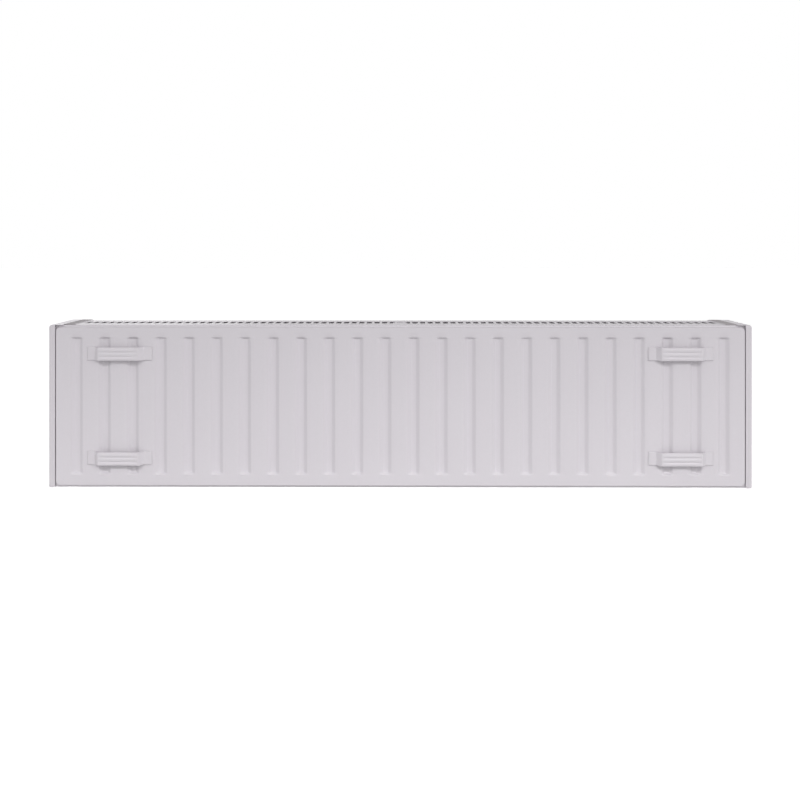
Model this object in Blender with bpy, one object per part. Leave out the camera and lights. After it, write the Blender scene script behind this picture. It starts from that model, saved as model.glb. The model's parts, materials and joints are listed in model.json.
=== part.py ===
"""Low double-panel steel radiator with convector sheets, a top grille and side covers.

Frame: X runs along the length, Y from the wall side (-Y) to the room side (+Y), Z is up.
The origin is at the centre of the bounding box, on the floor. Left and right are as seen
from the wall side, so left is -X. All sizes are in metres.
"""
import math

import bmesh
import bpy
from mathutils import Matrix, Vector

# ---- Driving dimensions ----
LENGTH = 1.300  # over the side covers
PANEL_HEIGHT = 0.300  # seam edge to seam edge
BODY_DEPTH = 0.100  # over the side covers' lips
LUG_REACH = 0.010  # hanger bridge beyond the lips, towards the wall
GAP = 0.0003  # clearance between neighbouring pieces

# ---- Depth stations ----
Y_WALL = LUG_REACH - (BODY_DEPTH + LUG_REACH) / 2
Y_ROOM = Y_WALL + BODY_DEPTH
Y_MID = (Y_WALL + Y_ROOM) / 2

# ---- Pressed panel sheets ----
SHEET = 0.0012  # sheet thickness
PRESSING = 0.005  # from the raised face to the seam plane
PANEL_THICKNESS = 2 * (SHEET + PRESSING) + GAP
FACE_INSET = 0.0005  # raised face behind the side covers' lips
SEAM_HALF_LENGTH = LENGTH / 2 - 0.003
END_SEAM = 0.0096  # width of the flat seam at each end
LONG_SEAM = 0.0020  # width of the flat seam along the top and the bottom
SHOULDER = 0.0024  # run of the slope from the seam to the raised face
FLUTE_COUNT = 24
FLUTE_PITCH = 0.052
FLUTE_HALF_WIDTH = 0.0145
FLUTE_SIDE_RUN = 0.0085  # run of the long walls
FLUTE_END_RUN = 0.005  # run of the end walls
FLUTE_CORNER = 0.006
FLUTE_BOTTOM = 0.023
FLUTE_TOP = 0.279

# ---- Convector sheets ----
FIN_SHEET = 0.0007
FIN_REACH = 0.030
FIN_FLAT_HALF = 0.010
FIN_BOTTOM = 0.034
FIN_TOP = 0.266

# ---- Connection tees ----
TEE_X = LENGTH / 2 - 0.0255
TEE_INSET_Z = 0.027  # socket axis from the panel's top or bottom edge
TEE_RADIUS = 0.014
TEE_END_X = LENGTH / 2 - 0.010
SPIGOT_RADIUS = 0.008
SPIGOT_REACH = 0.0025  # spigot past the tee's shoulder, into the water channel
WATERWAY_RADIUS = 0.006
SOCKET_RADIUS = 0.0095
ROUND_SIDES = 20

# ---- Side covers ----
COVER_SHEET = 0.001
COVER_LIP = 0.012
COVER_BEND = 0.004
COVER_BOTTOM = 0.001
COVER_TOP = PANEL_HEIGHT + GAP + COVER_SHEET
COVER_FOLD = 0.0253  # top fold, measured from the cover's outer face
COVER_HOLE_RADIUS = 0.018
BEND_STEPS = 4

# ---- Top grille ----
GRILLE_SHEET = 0.001
GRILLE_TOP = PANEL_HEIGHT + 0.0004
GRILLE_HALF_DEPTH = 0.0412
GRILLE_END_X = LENGTH / 2 - 0.0267
GRILLE_STEP_X = LENGTH / 2 - 0.045  # where the raised end begins
GRILLE_STEP_RUN = 0.003
GRILLE_STEP_RISE = 0.0016
SKIRT_OUTER = 0.036  # skirt's outer face from the mid plane
SKIRT_BOTTOM = 0.284
SKIRT_HALF_LENGTH = 0.600
SLOT_COUNT = 83
SLOT_PITCH = 0.0145
SLOT_WIDTH = 0.0100
SLOT_LENGTH = 0.030

# ---- Clips ----
GRILLE_CLIP_WIDTH = 0.026
GRILLE_CLIP_X = 0.560
GRILLE_CLIP_LEG = 0.009
COVER_CLIP_SHEET = 0.0008
COVER_CLIP_HEIGHT = 0.024
COVER_CLIP_REACH = 0.009

# ---- Hanger lugs ----
LUG_SHEET = 0.0018
LUG_X = 0.518
LUG_HEIGHT = 0.0245
LUG_LOWER_Z = 0.043
LUG_UPPER_Z = 0.236
LUG_HALF_LENGTH = 0.060
LUG_BRIDGE_HALF = 0.037  # half length of the flat bridge
LUG_LEG_RUN = 0.008  # run of each sloping leg
LUG_CORNER = 0.003  # cut between the bridge and a leg
LUG_RIDGES = 3  # level ridges pressed along the bridge
LUG_GROOVE_DEPTH = 0.001  # grooves between the ridges
LUG_GROOVE_HALF = 0.0018
LUG_GROOVE_DROP = 0.0014  # grooves lie this far below even thirds of the height

# ---- Plugs, seals and air vent ----
THREAD_RADIUS = SOCKET_RADIUS - GAP
THREAD_LENGTH = 0.012
THREAD_CHAMFER = 0.001
SEAL_RADIUS = 0.0125
SEAL_BORE = THREAD_RADIUS + 2 * GAP
SEAL_THICKNESS = 0.0017
HEX_SIDES = 6
HEX_CORNER = 1 / math.cos(math.pi / HEX_SIDES)  # corner radius over flat radius
HEAD_FLAT = 0.012  # hexagon, centre to flat
HEAD_THICKNESS = 0.0035
KEY_SOCKET_FLAT = 0.004
KEY_SOCKET_DEPTH = 0.007
VENT_BORE = 0.0030
VENT_SEAT_DEPTH = 0.0015
NOZZLE_RADIUS = 0.0080
NOZZLE_BORE = 0.0042
NOZZLE_THICKNESS = 0.0030
SPOUT_REACH = 0.0035
SPOUT_HALF_WIDTH = 0.0018
BLEED_SHANK_RADIUS = 0.0026
BLEED_SHANK_LENGTH = 0.011
BLEED_SQUARE_HALF = 0.0025
BLEED_SQUARE_PROUD = 0.0012  # square past the nozzle ring
BLEED_STEP = 0.001  # round shank inside the foot of the square
BLEED_TIP_LENGTH = 0.0025
SMALL_SIDES = 12
CUT_PAST = 0.002  # how far a cutter runs past the face it opens

PAINT = ("enamel_paint", (0.64, 0.61, 0.645), 0.40, 0.0)
SPRING_STEEL = ("spring_steel", (0.55, 0.56, 0.58), 0.35, 1.0)
NICKEL = ("nickel_plate", (0.72, 0.70, 0.66), 0.22, 1.0)
RUBBER = ("seal_rubber", (0.03, 0.03, 0.032), 0.75, 0.0)
PLASTIC = ("white_plastic", (0.80, 0.79, 0.77), 0.45, 0.0)


# ---- Scene helpers ----
def clear_scene():
    for obj in list(bpy.data.objects):
        bpy.data.objects.remove(obj)


def material(finish):
    name, colour, roughness, metallic = finish
    existing = bpy.data.materials.get(name)
    if existing:
        return existing
    made = bpy.data.materials.new(name)
    made.use_nodes = True
    shader = made.node_tree.nodes["Principled BSDF"]
    shader.inputs["Base Color"].default_value = (*colour, 1.0)
    shader.inputs["Roughness"].default_value = roughness
    shader.inputs["Metallic"].default_value = metallic
    return made


def finish_object(name, bm, finish, origin=(0.0, 0.0, 0.0)):
    """Turn a bmesh in world coordinates into an object whose own origin is at origin."""
    bmesh.ops.recalc_face_normals(bm, faces=bm.faces[:])
    bmesh.ops.translate(bm, verts=bm.verts[:], vec=-Vector(origin))
    mesh = bpy.data.meshes.new(name)
    bm.to_mesh(mesh)
    bm.free()
    obj = bpy.data.objects.new(name, mesh)
    obj.location = origin
    bpy.context.scene.collection.objects.link(obj)
    if finish:
        mesh.materials.append(material(finish))
    return obj


def shade_round(obj):
    obj.data.shade_smooth()
    obj.data.set_sharp_from_angle(angle=math.radians(35))


def hide_tool(obj):
    obj.hide_render = True
    obj.display_type = "WIRE"


def combine(obj, tool, operation):
    """Add a Boolean that joins or cuts obj with a hidden tool object."""
    hide_tool(tool)
    modifier = obj.modifiers.new(tool.name, "BOOLEAN")
    modifier.operation = operation
    modifier.object = tool
    modifier.solver = "EXACT"


# ---- Shape helpers ----
def ribbon(path, thickness):
    """Closed outline of a strip of even thickness whose centre line is a 2-D path."""
    points = [Vector(point) for point in path]
    left, right = [], []
    for index, point in enumerate(points):
        before = points[max(index - 1, 0)]
        after = points[min(index + 1, len(points) - 1)]
        arriving = (point - before).normalized() if index else (after - point).normalized()
        leaving = (after - point).normalized() if index < len(points) - 1 else arriving
        normal = Vector((-arriving.y - leaving.y, arriving.x + leaving.x)).normalized()
        reach = thickness / 2 / normal.dot(Vector((-arriving.y, arriving.x)))
        left.append(point + normal * reach)
        right.append(point - normal * reach)
    return left + right[::-1]


def arc(centre, radius, start_deg, end_deg, steps):
    points = []
    for step in range(steps + 1):
        angle = math.radians(start_deg + (end_deg - start_deg) * step / steps)
        points.append((centre[0] + radius * math.cos(angle), centre[1] + radius * math.sin(angle)))
    return points


def loft(bm, rings):
    """Join rings of equal point count into one closed body with flat end caps."""
    made = [[bm.verts.new(point) for point in ring] for ring in rings]
    for lower, upper in zip(made, made[1:]):
        for index in range(len(lower)):
            following = (index + 1) % len(lower)
            bm.faces.new((lower[index], lower[following], upper[following], upper[index]))
    bm.faces.new(made[0][::-1])
    bm.faces.new(made[-1])


def add_box(bm, low, high):
    size = Vector(high) - Vector(low)
    centre = (Vector(high) + Vector(low)) / 2
    bmesh.ops.create_cube(bm, size=1.0, matrix=Matrix.Translation(centre) @ Matrix.Diagonal((*size, 1.0)))


def prism_z(bm, outline, low, high):
    loft(bm, [[(x, y, z) for x, y in outline] for z in (low, high)])


def turned(bm, axis, centre, profile, sides=ROUND_SIDES, turn_deg=0.0):
    """Revolve (along, radius) pairs about the X or Y axis through centre.

    A profile that begins and ends at the same pair makes a ring, and any other one
    makes a solid with flat ends.
    """
    rings = []
    for along, radius in profile:
        ring = []
        for side in range(sides):
            angle = 2 * math.pi * side / sides + math.radians(turn_deg)
            across, up = radius * math.cos(angle), radius * math.sin(angle)
            offset = (along, across, up) if axis == "X" else (across, along, up)
            ring.append(Vector(centre) + Vector(offset))
        rings.append(ring)
    if profile[0] != profile[-1]:
        loft(bm, rings)
        return
    made = [[bm.verts.new(point) for point in ring] for ring in rings[:-1]]
    for index, ring in enumerate(made):
        following = made[(index + 1) % len(made)]
        for side in range(sides):
            beside = (side + 1) % sides
            bm.faces.new((ring[side], ring[beside], following[beside], following[side]))


def tube(low, high, outer, inner):
    """Profile of a plain ring for turned()."""
    return [(low, inner), (low, outer), (high, outer), (high, inner), (low, inner)]


# ---- Pressed panel sheets ----
def flute_centres():
    first = -FLUTE_PITCH * (FLUTE_COUNT - 1) / 2
    return [first + FLUTE_PITCH * index for index in range(FLUTE_COUNT)]


def flute_outline(centre, half, low, high, corner):
    """Outline of a flute with its corners cut, or square where corner is 0."""
    outline = []
    for x_sign, z_sign in ((-1, -1), (1, -1), (1, 1), (-1, 1)):
        x, z = centre + x_sign * half, high if z_sign > 0 else low
        on_side = (x, z - z_sign * corner)
        on_end = (x - x_sign * corner, z)
        if not corner:
            outline.append((x, z))
        elif x_sign == z_sign:
            outline += [on_side, on_end]
        else:
            outline += [on_end, on_side]
    return outline


def flank(outline, centre, side):
    """The points of an outline on one side of its centre line, from low to high."""
    return sorted((point for point in outline if side * (point[0] - centre) > 0), key=lambda point: point[1])


def pressed_sheet(name, face_y, inward, corner, spigot_holes=False):
    """One pressed sheet: flat seam all round, raised face, and flutes down to the seam plane."""
    bm = bmesh.new()
    made = {}

    def face(outline, depths):
        corners = []
        for (x, z), depth in zip(outline, depths):
            key = (round(x, 6), round(z, 6), depth)
            if key not in made:
                made[key] = bm.verts.new((x, face_y + inward * depth, z))
            corners.append(made[key])
        bm.faces.new(corners)

    def flat_face(outline, depth):
        face(outline, [depth] * len(outline))

    foot_x = SEAM_HALF_LENGTH - END_SEAM
    raised_x = foot_x - SHOULDER
    raised_low = LONG_SEAM + SHOULDER
    raised_high = PANEL_HEIGHT - raised_low
    for z, foot_z, raised_z in ((0.0, LONG_SEAM, raised_low),
                                (PANEL_HEIGHT, PANEL_HEIGHT - LONG_SEAM, raised_high)):
        flat_face([(-SEAM_HALF_LENGTH, z), (SEAM_HALF_LENGTH, z), (foot_x, foot_z), (-foot_x, foot_z)], PRESSING)
        face([(-foot_x, foot_z), (foot_x, foot_z), (raised_x, raised_z), (-raised_x, raised_z)],
             [PRESSING, PRESSING, 0.0, 0.0])
    for side in (-1, 1):
        foot = [(side * foot_x, LONG_SEAM), (side * foot_x, PANEL_HEIGHT - LONG_SEAM)]
        edge = [(side * SEAM_HALF_LENGTH, PANEL_HEIGHT), (side * SEAM_HALF_LENGTH, 0.0)]
        slope_top = [(side * raised_x, z) for z in (raised_high, FLUTE_TOP, FLUTE_BOTTOM, raised_low)]
        flat_face(foot + edge, PRESSING)
        face(foot + slope_top, [PRESSING, PRESSING, 0.0, 0.0, 0.0, 0.0])

    flanks = [[(-raised_x, FLUTE_BOTTOM), (-raised_x, FLUTE_TOP)]]
    for centre in flute_centres():
        rim = flute_outline(centre, FLUTE_HALF_WIDTH, FLUTE_BOTTOM, FLUTE_TOP, corner)
        floor = flute_outline(centre, FLUTE_HALF_WIDTH - FLUTE_SIDE_RUN, FLUTE_BOTTOM + FLUTE_END_RUN,
                              FLUTE_TOP - FLUTE_END_RUN, corner / 2)
        flat_face(floor, PRESSING)
        for index in range(len(rim)):
            following = (index + 1) % len(rim)
            face([rim[index], rim[following], floor[following], floor[index]], [0.0, 0.0, PRESSING, PRESSING])
        flanks += [flank(rim, centre, -1), flank(rim, centre, 1)]
    flanks.append([(raised_x, FLUTE_BOTTOM), (raised_x, FLUTE_TOP)])
    for left, right in zip(flanks[0::2], flanks[1::2]):
        flat_face(left + right[::-1], 0.0)
    flat_face([points[-1] for points in flanks] + [(raised_x, raised_high), (-raised_x, raised_high)], 0.0)
    flat_face([points[0] for points in flanks] + [(raised_x, raised_low), (-raised_x, raised_low)], 0.0)

    grown = bmesh.ops.extrude_face_region(bm, geom=bm.faces[:], use_keep_orig=True)["geom"]
    moved = [element for element in grown if isinstance(element, bmesh.types.BMVert)]
    bmesh.ops.translate(bm, verts=moved, vec=(0.0, inward * SHEET, 0.0))
    obj = finish_object(name, bm, PAINT)
    if spigot_holes:
        holes = bmesh.new()
        for x_sign in (-1, 1):
            for z in (TEE_INSET_Z, PANEL_HEIGHT - TEE_INSET_Z):
                reach = 2 * SHEET
                turned(holes, "Y", (x_sign * TEE_X, face_y, z),
                       [(-reach, SPIGOT_RADIUS + GAP), (reach, SPIGOT_RADIUS + GAP)])
        combine(obj, finish_object(name + "_holes", holes, None), "DIFFERENCE")
    return obj


def panels():
    wall_face = Y_WALL + FACE_INSET
    room_face = Y_ROOM - FACE_INSET
    pressed_sheet("rear_panel_outer_sheet", wall_face, 1, FLUTE_CORNER)
    pressed_sheet("rear_panel_inner_sheet", wall_face + PANEL_THICKNESS, -1, 0.0, spigot_holes=True)
    pressed_sheet("front_panel_outer_sheet", room_face, -1, FLUTE_CORNER)
    pressed_sheet("front_panel_inner_sheet", room_face - PANEL_THICKNESS, 1, 0.0, spigot_holes=True)


# ---- Convector sheets ----
def convector(name, root_y, tip_y):
    """Corrugated sheet whose flats lie on every raised waterway of its panel."""
    path = []
    inner_flats = FLUTE_COUNT - 1
    towards_tip = 1 if tip_y > root_y else -1
    root = root_y + towards_tip * FIN_SHEET / 2
    tip = tip_y - towards_tip * FIN_SHEET / 2
    half_pitch = FLUTE_PITCH / 2
    for step in range(2 * inner_flats - 1):
        centre = (step - inner_flats + 1) * half_pitch
        y = tip if step % 2 else root
        path += [(centre - FIN_FLAT_HALF, y), (centre + FIN_FLAT_HALF, y)]
    bm = bmesh.new()
    prism_z(bm, ribbon(path, FIN_SHEET), FIN_BOTTOM, FIN_TOP)
    return finish_object(name, bm, PAINT)


def convectors():
    stack = FACE_INSET + PANEL_THICKNESS + GAP
    convector("rear_convector", Y_WALL + stack, Y_WALL + stack + FIN_REACH)
    convector("front_convector", Y_ROOM - stack, Y_ROOM - stack - FIN_REACH)


# ---- Connection tees ----
def connection_tee(name, side, z):
    """Cross tube between the two panels, with a socket that opens at the radiator's end."""
    centre = (side * TEE_X, Y_MID, z)
    half = BODY_DEPTH / 2 - FACE_INSET - PANEL_THICKNESS - GAP
    body = bmesh.new()
    turned(body, "Y", centre, [
        (-half - SPIGOT_REACH, SPIGOT_RADIUS), (-half, SPIGOT_RADIUS), (-half, TEE_RADIUS),
        (half, TEE_RADIUS), (half, SPIGOT_RADIUS), (half + SPIGOT_REACH, SPIGOT_RADIUS),
    ], turn_deg=180 / ROUND_SIDES)
    obj = finish_object(name, body, PAINT, centre)
    boss_length = TEE_END_X - TEE_X
    boss = bmesh.new()
    turned(boss, "X", centre, sorted([(0.0, TEE_RADIUS), (side * boss_length, TEE_RADIUS)]))
    combine(obj, finish_object(name + "_boss", boss, None), "UNION")
    cross = bmesh.new()
    turned(cross, "Y", centre, [(-half * 2, WATERWAY_RADIUS), (half * 2, WATERWAY_RADIUS)])
    combine(obj, finish_object(name + "_waterway", cross, None), "DIFFERENCE")
    socket = bmesh.new()
    turned(socket, "X", centre, sorted([(0.0, SOCKET_RADIUS), (side * boss_length * 2, SOCKET_RADIUS)]))
    combine(obj, finish_object(name + "_socket", socket, None), "DIFFERENCE")
    shade_round(obj)
    return obj


def connection_tees():
    for level, z in (("top", PANEL_HEIGHT - TEE_INSET_Z), ("bottom", TEE_INSET_Z)):
        connection_tee(f"connection_tee_{level}_left", -1, z)
        connection_tee(f"connection_tee_{level}_right", 1, z)


# ---- Hanger lugs ----
def hanger_lug(name, x, low_z):
    """Pressed bridge on two feet, with level ridges along the bridge."""
    foot_y = Y_WALL + FACE_INSET - GAP - LUG_SHEET / 2
    bridge_y = Y_WALL - LUG_REACH + LUG_SHEET / 2
    right_half = [
        (LUG_BRIDGE_HALF - LUG_CORNER, bridge_y), (LUG_BRIDGE_HALF, bridge_y + LUG_CORNER / 2),
        (LUG_BRIDGE_HALF + LUG_LEG_RUN, foot_y), (LUG_HALF_LENGTH, foot_y),
    ]
    path = [(-along, y) for along, y in right_half[::-1]] + right_half
    outline = ribbon(path, LUG_SHEET)
    levels = [(0.0, 0.0)]
    for ridge in range(1, LUG_RIDGES):
        groove = LUG_HEIGHT * ridge / LUG_RIDGES - LUG_GROOVE_DROP
        levels += [(groove - LUG_GROOVE_HALF, 0.0), (groove, LUG_GROOVE_DEPTH), (groove + LUG_GROOVE_HALF, 0.0)]
    levels.append((LUG_HEIGHT, 0.0))
    rings = []
    for height, depth in levels:
        ring = []
        for along, y in outline:
            on_bridge = abs(along) < LUG_BRIDGE_HALF - LUG_CORNER / 2
            ring.append((x + along, y + depth if on_bridge else y, low_z + height))
        rings.append(ring)
    bm = bmesh.new()
    loft(bm, rings)
    return finish_object(name, bm, PAINT)


def hanger_lugs():
    for level, z in (("upper", LUG_UPPER_Z), ("lower", LUG_LOWER_Z)):
        hanger_lug(f"hanger_lug_{level}_left", -LUG_X, z)
        hanger_lug(f"hanger_lug_{level}_right", LUG_X, z)


# ---- Side covers ----
def side_cover(name, side):
    """End plate with a lip round each panel, a fold over the top and two socket holes."""
    face = side * (LENGTH / 2 - COVER_SHEET / 2)
    lip_end = side * (LENGTH / 2 - COVER_LIP)
    bend_x = face - side * COVER_BEND
    wall, room = Y_WALL + COVER_SHEET / 2, Y_ROOM - COVER_SHEET / 2
    wall_bend = arc((bend_x, wall + COVER_BEND), COVER_BEND, -90, -90 + side * 90, BEND_STEPS)
    room_bend = arc((bend_x, room - COVER_BEND), COVER_BEND, 90 - side * 90, 90, BEND_STEPS)
    outline = ribbon([(lip_end, wall), *wall_bend, *room_bend, (lip_end, room)], COVER_SHEET)
    count = len(outline) // 2
    outside, inside = outline[:count], outline[count:][::-1]
    if side > 0:
        outside, inside = inside, outside

    bm = bmesh.new()
    fold_z = COVER_TOP - COVER_SHEET
    fold_x = side * (LENGTH / 2 - COVER_FOLD)

    def column(points, z):
        return [bm.verts.new((x, y, z)) for x, y in points]

    out_low, out_mid, out_top = (column(outside, z) for z in (COVER_BOTTOM, fold_z, COVER_TOP))
    in_low, in_mid = (column(inside, z) for z in (COVER_BOTTOM, fold_z))
    fold_low = column([(fold_x, Y_ROOM), (fold_x, Y_WALL)], fold_z)
    fold_top = column([(fold_x, Y_ROOM), (fold_x, Y_WALL)], COVER_TOP)
    for index in range(count - 1):
        bm.faces.new((out_low[index], out_low[index + 1], out_mid[index + 1], out_mid[index]))
        bm.faces.new((out_mid[index], out_mid[index + 1], out_top[index + 1], out_top[index]))
        bm.faces.new((in_low[index + 1], in_low[index], in_mid[index], in_mid[index + 1]))
    bm.faces.new((in_low[0], out_low[0], out_mid[0], in_mid[0]))
    bm.faces.new((out_low[-1], in_low[-1], in_mid[-1], out_mid[-1]))
    bm.faces.new(out_low[::-1] + in_low)
    bm.faces.new(out_top + fold_top)
    bm.faces.new(in_mid + [out_mid[-1]] + fold_low + [out_mid[0]])
    bm.faces.new((out_mid[-1], fold_low[0], fold_top[0], out_top[-1]))
    bm.faces.new((fold_low[0], fold_low[1], fold_top[1], fold_top[0]))
    bm.faces.new((fold_low[1], out_mid[0], out_top[0], fold_top[1]))
    obj = finish_object(name, bm, PAINT)

    holes = bmesh.new()
    for z in (TEE_INSET_Z, PANEL_HEIGHT - TEE_INSET_Z):
        reach = 2 * COVER_SHEET
        turned(holes, "X", (face, Y_MID, z), [(-reach, COVER_HOLE_RADIUS), (reach, COVER_HOLE_RADIUS)])
    combine(obj, finish_object(name + "_holes", holes, None), "DIFFERENCE")
    shade_round(obj)
    return obj


def cover_clip(name, side, panel_mid_y):
    """Spring strip folded round the end seam of one panel, carried by the side cover."""
    half_seam = SHEET + GAP / 2
    spread = half_seam + GAP + COVER_CLIP_SHEET / 2
    back = side * (LENGTH / 2 - COVER_SHEET - GAP - COVER_CLIP_SHEET / 2)
    tip = back - side * COVER_CLIP_REACH
    path = [(tip, panel_mid_y - spread), (back, panel_mid_y - spread),
            (back, panel_mid_y + spread), (tip, panel_mid_y + spread)]
    bm = bmesh.new()
    middle = PANEL_HEIGHT / 2
    half_height = COVER_CLIP_HEIGHT / 2
    prism_z(bm, ribbon(path, COVER_CLIP_SHEET), middle - half_height, middle + half_height)
    return finish_object(name, bm, SPRING_STEEL)


def side_covers():
    half_panel = FACE_INSET + PANEL_THICKNESS / 2
    for side, word in ((-1, "left"), (1, "right")):
        side_cover(f"side_cover_{word}", side)
        cover_clip(f"cover_clip_{word}_rear", side, Y_WALL + half_panel)
        cover_clip(f"cover_clip_{word}_front", side, Y_ROOM - half_panel)


# ---- Top grille ----
def top_grille():
    """Slotted sheet with raised plain ends and a skirt folded down along each side."""
    middle = GRILLE_TOP - GRILLE_SHEET / 2
    ends = middle + GRILLE_STEP_RISE
    right_half = [(GRILLE_STEP_X - GRILLE_STEP_RUN, middle), (GRILLE_STEP_X, ends), (GRILLE_END_X, ends)]
    path = [(-x, z) for x, z in right_half[::-1]] + right_half
    outline = ribbon(path, GRILLE_SHEET)
    body = bmesh.new()
    loft(body, [[(x, y, z) for x, z in outline]
                for y in (Y_MID - GRILLE_HALF_DEPTH, Y_MID + GRILLE_HALF_DEPTH)])
    obj = finish_object("top_grille", body, PAINT)

    skirts = bmesh.new()
    for side in (-1, 1):
        faces = sorted((Y_MID + side * SKIRT_OUTER, Y_MID + side * (SKIRT_OUTER - GRILLE_SHEET)))
        add_box(skirts, (-SKIRT_HALF_LENGTH, faces[0], SKIRT_BOTTOM), (SKIRT_HALF_LENGTH, faces[1], middle))
    combine(obj, finish_object("grille_skirts", skirts, None), "UNION")

    slots = bmesh.new()
    for index in range(SLOT_COUNT):
        x = (index - (SLOT_COUNT - 1) / 2) * SLOT_PITCH
        add_box(slots, (x - SLOT_WIDTH / 2, Y_MID - SLOT_LENGTH / 2, middle - GRILLE_SHEET),
                (x + SLOT_WIDTH / 2, Y_MID + SLOT_LENGTH / 2, middle + GRILLE_SHEET))
    combine(obj, finish_object("grille_slots", slots, None), "DIFFERENCE")
    return obj


def grille_clip(name, x):
    """Strap across the underside of the grille, with a leg along each skirt."""
    reach = SKIRT_OUTER - 1.5 * GRILLE_SHEET - GAP
    top = GRILLE_TOP - 1.5 * GRILLE_SHEET - GAP
    path = [(Y_MID - reach, top - GRILLE_CLIP_LEG), (Y_MID - reach, top),
            (Y_MID + reach, top), (Y_MID + reach, top - GRILLE_CLIP_LEG)]
    outline = ribbon(path, GRILLE_SHEET)
    bm = bmesh.new()
    loft(bm, [[(x + side * GRILLE_CLIP_WIDTH / 2, y, z) for y, z in outline] for side in (-1, 1)])
    return finish_object(name, bm, PAINT)


def grille_clips():
    for word, x in (("left", -GRILLE_CLIP_X), ("middle", 0.0), ("right", GRILLE_CLIP_X)):
        grille_clip(f"grille_clip_{word}", x)


# ---- Plugs, seals and air vent ----
def seal(name, side, centre):
    """Flat sealing ring between a socket's end face and the plug's head."""
    bm = bmesh.new()
    turned(bm, "X", centre, tube(side * GAP, side * (GAP + SEAL_THICKNESS), SEAL_RADIUS, SEAL_BORE))
    obj = finish_object(name, bm, RUBBER, centre)
    shade_round(obj)
    return obj


def plug(name, side, centre):
    """Threaded plug with a hexagonal head, drawn about its socket's end face."""
    under_head = side * (2 * GAP + SEAL_THICKNESS)
    head_out = under_head + side * HEAD_THICKNESS
    bm = bmesh.new()
    turned(bm, "X", centre, [(-side * THREAD_LENGTH, THREAD_RADIUS - THREAD_CHAMFER),
                             (-side * (THREAD_LENGTH - THREAD_CHAMFER), THREAD_RADIUS),
                             (under_head + side * HEAD_THICKNESS / 2, THREAD_RADIUS)])
    obj = finish_object(name, bm, NICKEL, centre)
    head = bmesh.new()
    turned(head, "X", centre, [(under_head, HEAD_FLAT * HEX_CORNER), (head_out, HEAD_FLAT * HEX_CORNER)],
           sides=HEX_SIDES)
    combine(obj, finish_object(name + "_head", head, None), "UNION")
    shade_round(obj)
    return obj, head_out


def blank_plug(side, centre):
    """Plug closed by its own end, with a hexagonal key socket."""
    obj, head_out = plug("blank_plug", side, centre)
    key = bmesh.new()
    turned(key, "X", centre, [(head_out - side * KEY_SOCKET_DEPTH, KEY_SOCKET_FLAT * HEX_CORNER),
                              (head_out + side * CUT_PAST, KEY_SOCKET_FLAT * HEX_CORNER)], sides=HEX_SIDES)
    combine(obj, finish_object("blank_plug_key_socket", key, None), "DIFFERENCE")
    seal("blank_plug_seal", side, centre)


def vent_plug(side, centre):
    """Plug with a bleed bore and a round seat in its head for the nozzle ring."""
    obj, head_out = plug("vent_plug", side, centre)
    bore = bmesh.new()
    turned(bore, "X", centre, [(-side * THREAD_LENGTH * 2, VENT_BORE), (head_out + side * CUT_PAST, VENT_BORE)],
           sides=SMALL_SIDES)
    combine(obj, finish_object("vent_plug_bore", bore, None), "DIFFERENCE")
    seat = bmesh.new()
    turned(seat, "X", centre, [(head_out - side * VENT_SEAT_DEPTH, NOZZLE_RADIUS + GAP),
                               (head_out + side * CUT_PAST, NOZZLE_RADIUS + GAP)])
    combine(obj, finish_object("vent_plug_seat", seat, None), "DIFFERENCE")
    seal("vent_plug_seal", side, centre)

    nozzle_in = head_out - side * (VENT_SEAT_DEPTH - GAP)
    nozzle_out = nozzle_in + side * NOZZLE_THICKNESS
    ring = bmesh.new()
    turned(ring, "X", centre, tube(nozzle_in, nozzle_out, NOZZLE_RADIUS, NOZZLE_BORE))
    nozzle = finish_object("vent_nozzle", ring, PLASTIC, centre)
    spout = bmesh.new()
    spout_faces = sorted((centre[0] + head_out + side * GAP, centre[0] + nozzle_out - side * GAP))
    add_box(spout, (spout_faces[0], centre[1] - SPOUT_HALF_WIDTH, centre[2] - NOZZLE_RADIUS - SPOUT_REACH),
            (spout_faces[1], centre[1] + SPOUT_HALF_WIDTH, centre[2] - (NOZZLE_RADIUS + NOZZLE_BORE) / 2))
    combine(nozzle, finish_object("vent_nozzle_spout", spout, None), "UNION")
    shade_round(nozzle)

    shank_out = head_out - side * VENT_SEAT_DEPTH
    shank_in = shank_out - side * BLEED_SHANK_LENGTH
    screw = bmesh.new()
    turned(screw, "X", centre, [(shank_in, BLEED_SHANK_RADIUS / 3),
                                (shank_in + side * BLEED_TIP_LENGTH, BLEED_SHANK_RADIUS),
                                (shank_out + side * BLEED_STEP, BLEED_SHANK_RADIUS)], sides=SMALL_SIDES)
    bleed = finish_object("bleed_screw", screw, NICKEL, centre)
    square = bmesh.new()
    square_faces = sorted((centre[0] + shank_out, centre[0] + nozzle_out + side * BLEED_SQUARE_PROUD))
    add_box(square, (square_faces[0], centre[1] - BLEED_SQUARE_HALF, centre[2] - BLEED_SQUARE_HALF),
            (square_faces[1], centre[1] + BLEED_SQUARE_HALF, centre[2] + BLEED_SQUARE_HALF))
    combine(bleed, finish_object("bleed_screw_square", square, None), "UNION")
    shade_round(bleed)


def plugs():
    top_z = PANEL_HEIGHT - TEE_INSET_Z
    vent_plug(-1, (-TEE_END_X, Y_MID, top_z))
    blank_plug(1, (TEE_END_X, Y_MID, top_z))


def build():
    clear_scene()
    panels()
    convectors()
    connection_tees()
    hanger_lugs()
    side_covers()
    top_grille()
    grille_clips()
    plugs()


build()
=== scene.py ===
"""Looks of a low double-panel steel radiator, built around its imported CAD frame.

Frame: X along the length, -Y the wall side that the camera sees, +Z up, in metres.
Left is -X. Each piece stands for the CAD node of the same name, with finer bends and edges.
"""
import json
import math

import bmesh
import bpy
from mathutils import Matrix, Vector


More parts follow.
